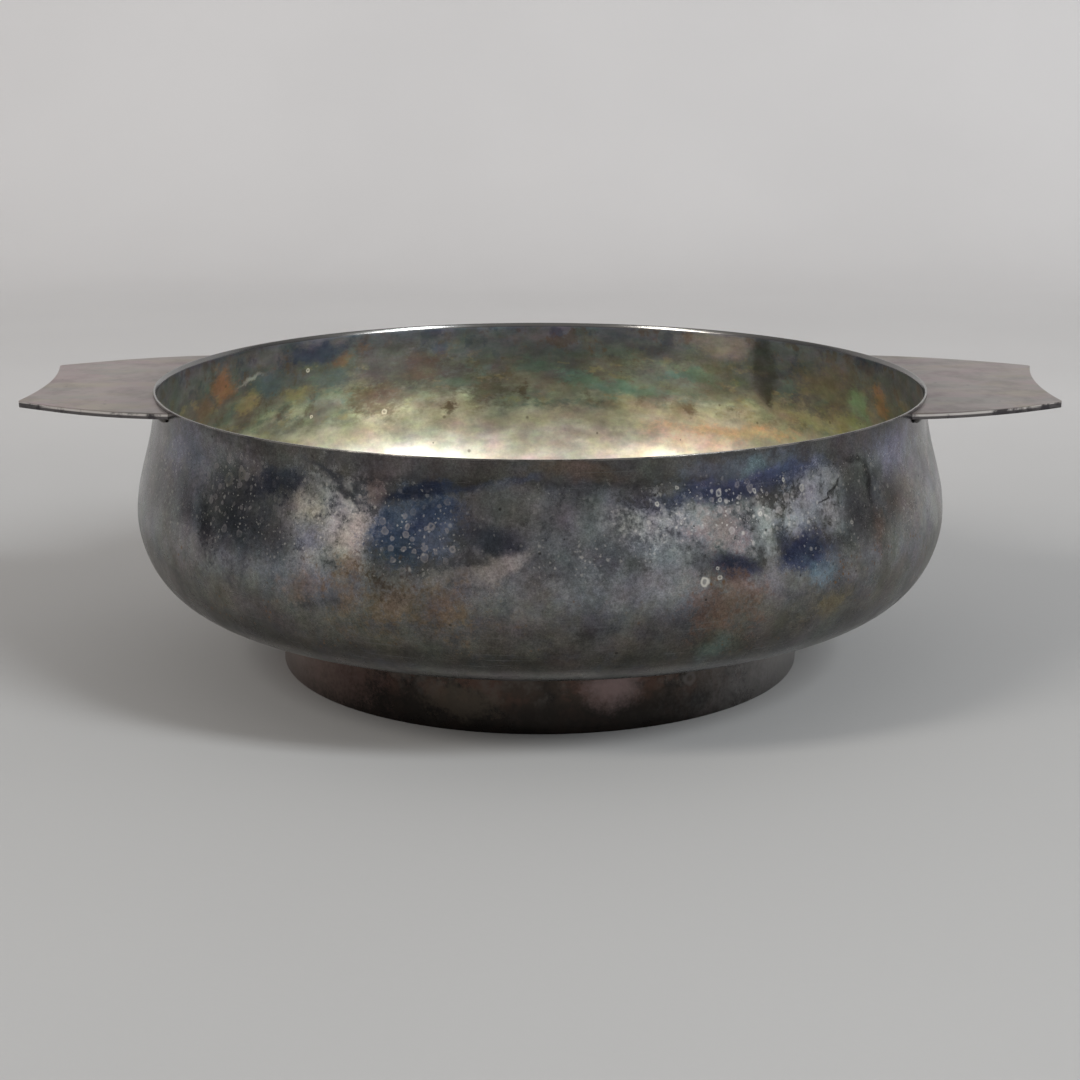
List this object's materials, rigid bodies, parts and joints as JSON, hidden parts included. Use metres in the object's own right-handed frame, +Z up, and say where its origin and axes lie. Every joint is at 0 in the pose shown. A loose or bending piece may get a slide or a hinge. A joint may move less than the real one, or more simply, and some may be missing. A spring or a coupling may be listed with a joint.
{
  "type": "footed bowl",
  "caption": "Squat footed serving bowl of tarnished silver-plated sheet metal, with flat plate handles soldered under the rim and a plain ring foot.",
  "frame": {"origin": "on the table, under the middle of the ring foot", "axes": "+X along the handles, to the right as the bowl is seen from the front; +Y away from the front; +Z up"},
  "size_m": [0.2814, 0.2266, 0.0795],
  "materials": {
    "bowl_plate": "dark blue-grey tarnished silver plate, half polished",
    "foot_plate": "brown-black tarnished silver plate",
    "handle_plate": "pale grey satin silver plate, lightly tarnished",
    "solder": "dull dark solder"
  },
  "bodies": {
    "root": {"bowl_shell": "bowl_plate", "foot_ring": "foot_plate", "foot_solder": "solder", "left_handle": "handle_plate", "right_handle": "handle_plate", "left_handle_solder": "solder", "right_handle_solder": "solder"}
  },
  "joints": []
}
